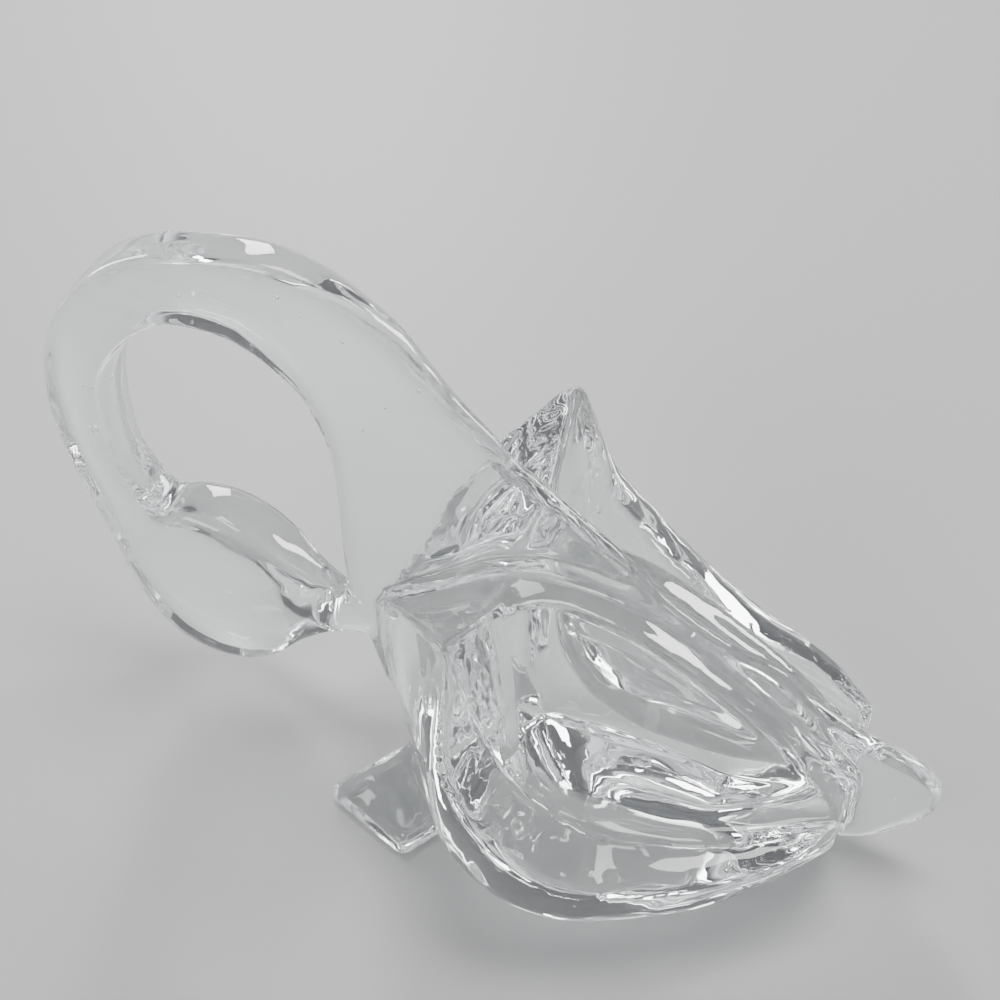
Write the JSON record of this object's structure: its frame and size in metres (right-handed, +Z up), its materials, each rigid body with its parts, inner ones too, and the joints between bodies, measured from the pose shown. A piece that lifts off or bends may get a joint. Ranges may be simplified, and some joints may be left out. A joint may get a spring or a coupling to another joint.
{
  "type": "glass swan paperweight",
  "caption": "Clear glass swan paperweight with a looped neck, scooped wings, an upright tail and two flat feet, made as one piece.",
  "frame": {"origin": "under the middle of its length, on the surface it stands on", "axes": "+X towards the tail, the swan faces -X, +Z up"},
  "size_m": [0.1638, 0.0874, 0.1071],
  "materials": {
    "clear_glass": "polished, fire-finished"
  },
  "bodies": {
    "root": {"swan": "clear_glass"}
  },
  "joints": []
}
